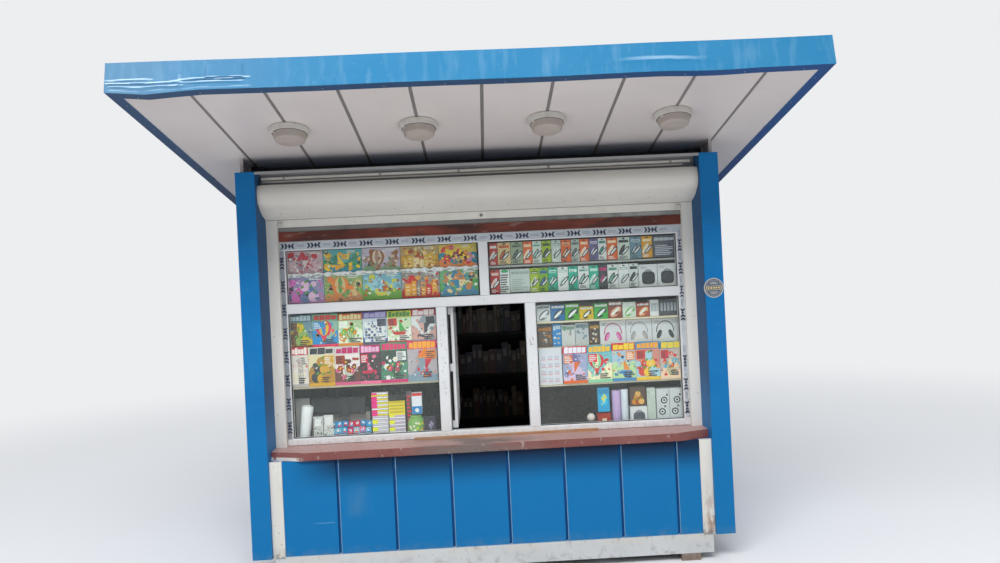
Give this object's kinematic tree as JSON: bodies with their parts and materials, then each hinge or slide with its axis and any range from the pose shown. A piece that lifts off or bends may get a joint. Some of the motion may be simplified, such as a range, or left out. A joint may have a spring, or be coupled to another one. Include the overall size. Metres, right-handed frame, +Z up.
{
  "type": "street kiosk",
  "caption": "Steel-clad street sales kiosk with a deep sloping canopy, shop window with open serving hatch, counter shelf and rolled-up shutter.",
  "frame": {"origin": "on the ground under the centre of the roof's outline (the bottom centre of the whole object's box)", "axes": "+Z up, +X along the shop window to the viewer's right, +Y from the front to the back; the window faces -Y"},
  "size_m": [3.656, 3.1764, 2.9814],
  "materials": {
    "blue_steel": "powder-coated folded steel, mid blue, sun-worn",
    "brown_board": "red-brown painted board, worn on the edge",
    "ceiling_sheet": "light grey coated sheet",
    "clear_glass": "clear float glass",
    "cream_aluminium": "cream enamelled aluminium",
    "fascia_blue": "powder-coated folded steel, lighter blue where it meets the sky light",
    "fired_brick": "grey-red bricks laid flat",
    "floor_board": "film-faced plywood",
    "galvanised": "galvanised sheet, dull",
    "grey_filler": "grey filler strip",
    "grey_steel": "primer-grey painted steel",
    "handle_metal": "brushed steel",
    "insulated_panel": "off-white coated sandwich panel",
    "lamp_base_white": "white moulded plastic ring",
    "lamp_diffuser": "smoky opal diffuser",
    "pale_wood": "bare softwood batten",
    "printed_card": null,
    "shelf_board": "pale laminated board",
    "strip_grey": "grey joint strip",
    "white_conduit": "white plastic conduit",
    "white_pvc": "white PVC window profile under a worn protective film"
  },
  "bodies": {
    "root": {"apron_core": "insulated_panel", "apron_panels": "blue_steel", "apron_trims": "cream_aluminium", "base_cross_beams": "grey_steel", "base_long_beams": "grey_steel", "ceiling_joint_strips": "strip_grey", "ceiling_panels": "ceiling_sheet", "conduit_clips": "white_conduit", "conduits": "white_conduit", "counter_batten": "pale_wood", "counter_shelf": "brown_board", "display_shelves": "shelf_board", "door_frame": "white_pvc", "door_handle": "handle_metal", "door_hinges": "handle_metal", "door_leaf": "white_pvc", "fascia_front": "fascia_blue", "fascia_left": "fascia_blue", "fascia_rear": "fascia_blue", "fascia_right": "fascia_blue", "floor_deck": "floor_board", "goods_lower": "printed_card", "goods_upper": "printed_card", "hatch_glass": "clear_glass", "hatch_hinges": "handle_metal", "hatch_sash": "white_pvc", "head_board": "brown_board", "head_filler": "grey_filler", "header_beam": "insulated_panel", "header_cladding": "grey_steel", "lamp_bases": "lamp_base_white", "lamp_domes": "lamp_diffuser", "lintel_wall": "insulated_panel", "pillar_left": "blue_steel", "pillar_right": "blue_steel", "rear_cladding": "blue_steel", "rear_shelf_uprights": "shelf_board", "rear_shelves": "shelf_board", "rear_wall_left": "insulated_panel", "rear_wall_over_door": "insulated_panel", "rear_wall_right": "insulated_panel", "roof_deck": "insulated_panel", "roof_sheet": "galvanised", "shutter_bottom_bar": "cream_aluminium", "shutter_box": "cream_aluminium", "shutter_end_caps": "cream_aluminium", "shutter_rails": "cream_aluminium", "side_cladding": "blue_steel", "side_wall_left": "insulated_panel", "side_wall_right": "insulated_panel", "sill_beam": "grey_steel", "support_pads": "fired_brick", "window_glass": "clear_glass", "window_head_bar": "white_pvc", "window_jambs": "white_pvc", "window_lower_mullions": "white_pvc", "window_packers": "white_pvc", "window_sill_bar": "white_pvc", "window_transom": "white_pvc", "window_upper_mullion": "white_pvc"}
  },
  "joints": []
}
